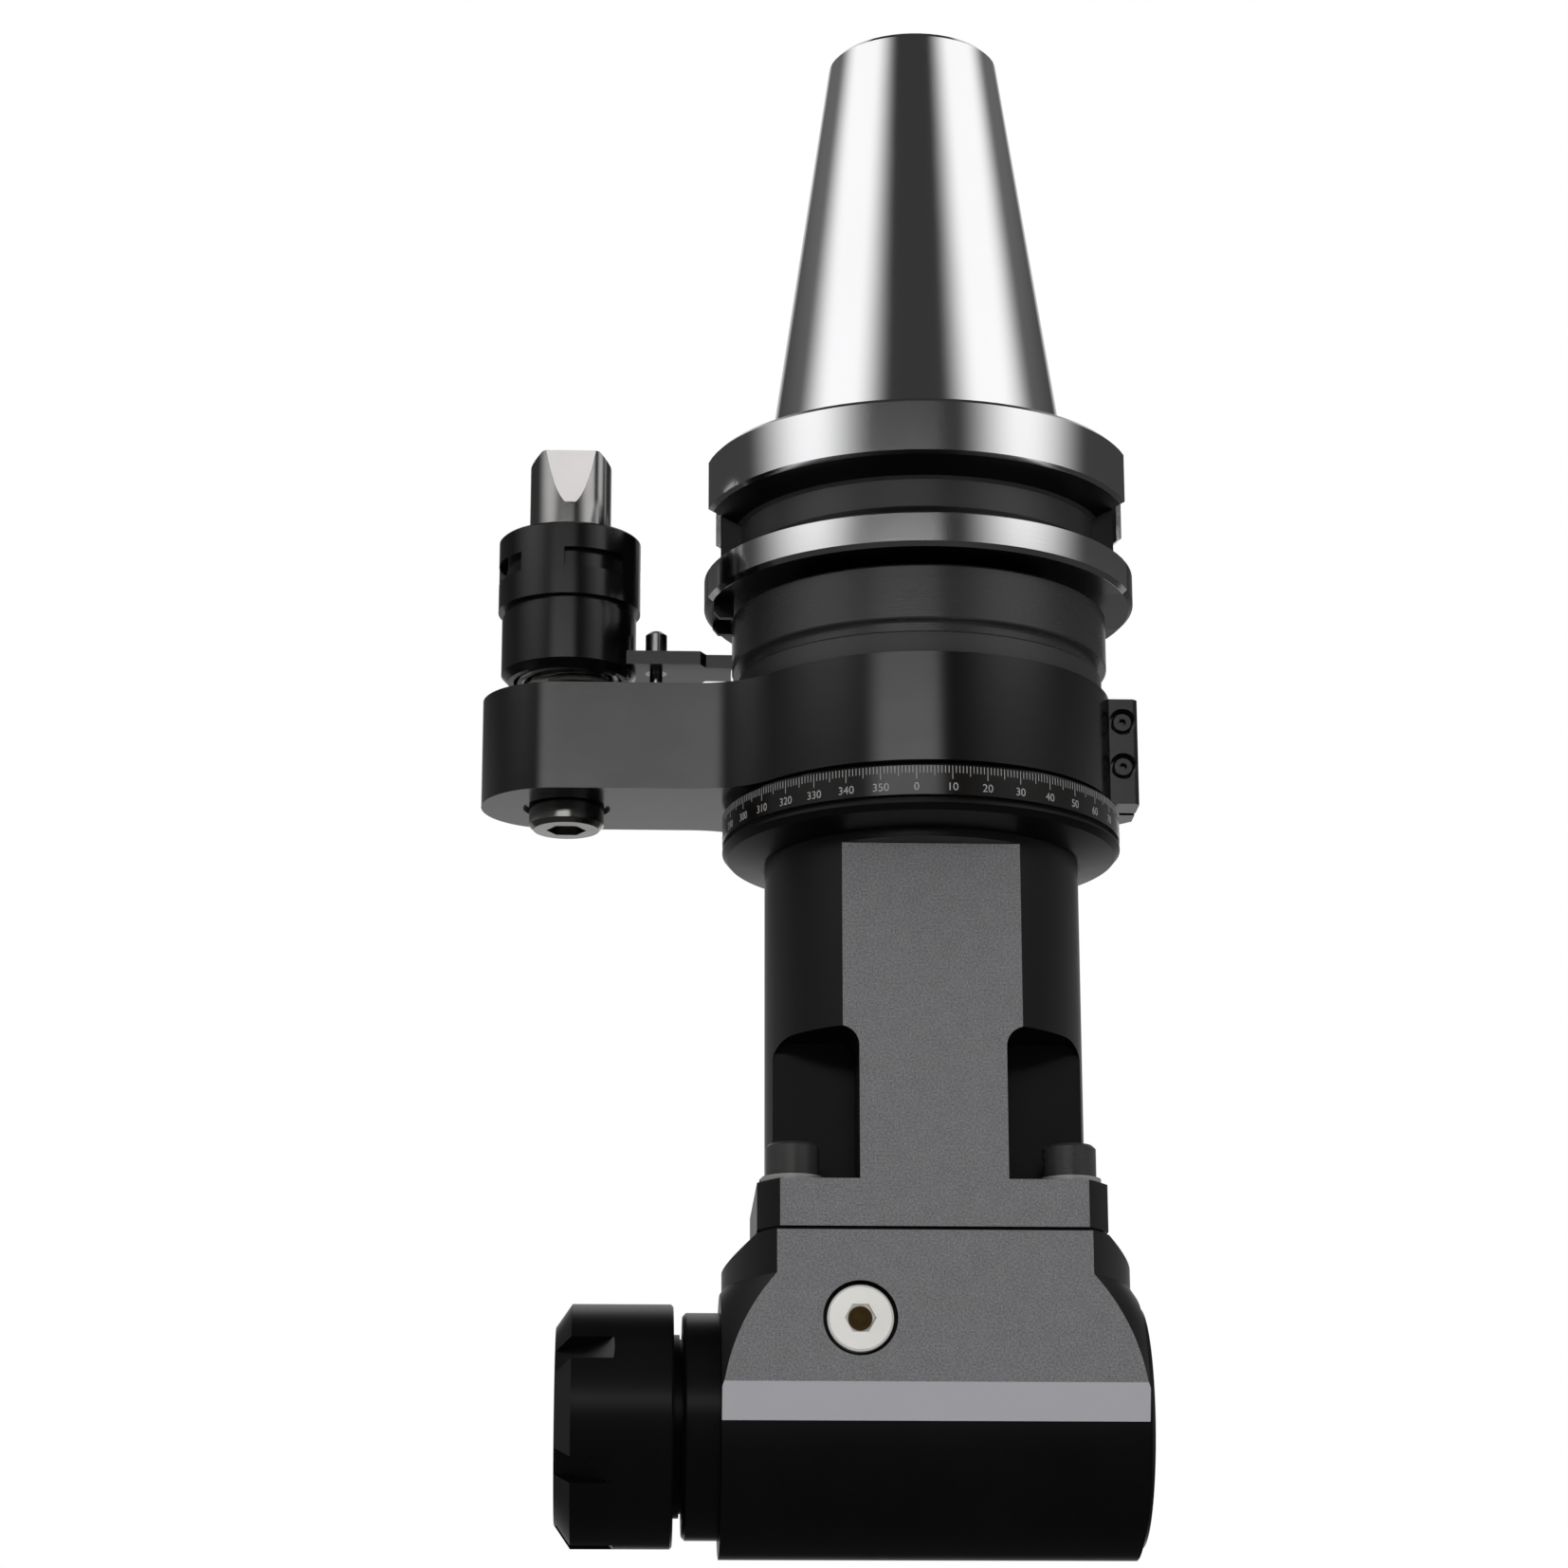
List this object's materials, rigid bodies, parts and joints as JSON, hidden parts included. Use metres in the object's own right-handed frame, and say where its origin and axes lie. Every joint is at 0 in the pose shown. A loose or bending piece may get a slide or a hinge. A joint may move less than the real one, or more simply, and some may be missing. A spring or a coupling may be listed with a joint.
{
  "type": "right-angle milling head",
  "caption": "Right-angle milling head with a steep-taper shank, an indexing anti-rotation arm and a collet spindle at ninety degrees.",
  "frame": {"origin": "spindle axis at the gauge line of the taper", "axes": "+Z along the spindle axis towards the small end of the taper, output nose towards -X, front flat towards -Y"},
  "size_m": [0.151, 0.1, 0.3574],
  "materials": {
    "black_oxide": "satin",
    "ground_steel": "ground",
    "machined_grey": "blasted",
    "cover_grey": "satin",
    "dark_steel": "satin",
    "bright_steel": "polished",
    "bearing_steel": "ground",
    "gear_steel": "ground",
    "brass": "polished",
    "seal_rubber": "matt",
    "spring_steel": "satin"
  },
  "bodies": {
    "housing": {"neck_housing": "black_oxide", "head_housing": "black_oxide", "top_cover": "cover_grey", "cover_screws": "dark_steel", "shaft_seal": "seal_rubber", "upper_outer_races": "bearing_steel", "lower_outer_race": "bearing_steel", "index_dial": "dark_steel", "joint_shim": "dark_steel", "joint_screws": "bright_steel", "screw_washers": "bright_steel", "dowel_pins": "bearing_steel", "grease_plug": "bright_steel", "plug_core": "brass", "front_outer_races": "bearing_steel", "rear_outer_race": "bearing_steel", "nose_collar": "dark_steel", "nose_seal": "seal_rubber", "rear_cover": "black_oxide"},
    "shank": {"taper_shank": "ground_steel", "long_dog": "dark_steel", "short_dog": "dark_steel", "dog_screws": "dark_steel", "upper_inner_races": "bearing_steel", "lower_inner_race": "bearing_steel", "bearing_nut": "dark_steel", "input_pinion": "gear_steel", "pinion_key": "gear_steel", "pinion_nut": "dark_steel", "drive_spacer": "bearing_steel"},
    "output": {"output_spindle": "bearing_steel", "output_gear": "gear_steel", "gear_key": "gear_steel", "gear_nut": "dark_steel", "front_nut": "dark_steel", "front_inner_races": "bearing_steel", "rear_inner_race": "bearing_steel", "collet": "ground_steel"},
    "nut": {"collet_nut": "black_oxide"},
    "input_cage": {"input_rollers": "bearing_steel", "input_cages": "brass"},
    "output_cage": {"output_rollers": "bearing_steel", "output_cages": "brass"},
    "arm": {"stop_arm": "black_oxide", "clamp_screws": "dark_steel", "stop_pin": "bright_steel", "pin_bolt": "dark_steel", "return_spring": "spring_steel"},
    "sleeve": {"stop_sleeve": "dark_steel", "stroke_screw": "dark_steel", "latch_plate": "dark_steel", "latch_screws": "dark_steel", "guide_pin": "bright_steel"},
    "ring": {"adjusting_ring": "black_oxide"}
  },
  "joints": [
    {"name": "shank_spin", "type": "hinge", "parent": "housing", "child": "shank", "pos_m": [0, 0, 0], "axis": [0, 0, 1], "continuous": true},
    {"name": "output_spin", "type": "hinge", "parent": "housing", "child": "output", "pos_m": [0, 0, -0.2267], "axis": [1, 0, 0], "continuous": true},
    {"name": "input_cage_spin", "type": "hinge", "parent": "housing", "child": "input_cage", "pos_m": [0, 0, 0], "axis": [0, 0, 1], "continuous": true},
    {"name": "output_cage_spin", "type": "hinge", "parent": "housing", "child": "output_cage", "pos_m": [0, 0, -0.2267], "axis": [1, 0, 0], "continuous": true},
    {"name": "nut_turn", "type": "hinge", "parent": "output", "child": "nut", "pos_m": [-0.07, 0, -0.2267], "axis": [1, 0, 0], "continuous": true},
    {"name": "arm_index", "type": "hinge", "parent": "housing", "child": "arm", "pos_m": [0, 0, -0.073], "axis": [0, 0, 1], "continuous": true},
    {"name": "sleeve_slide", "type": "slide", "parent": "arm", "child": "sleeve", "axis": [0, 0, 1], "range_m": [-0.004, 0.0105], "stiffness_N_per_m": 400, "springref_m": 0.0105, "deforming": ["return_spring"]},
    {"name": "ring_turn", "type": "hinge", "parent": "sleeve", "child": "ring", "pos_m": [-0.0814, 0, -0.03], "axis": [0, 0, 1], "range_deg": [-180, 180]}
  ],
  "couplings": [
    {"joint": "output_spin", "follows": "shank_spin", "ratio": -1},
    {"joint": "input_cage_spin", "follows": "shank_spin", "ratio": 0.46},
    {"joint": "output_cage_spin", "follows": "shank_spin", "ratio": -0.46}
  ]
}
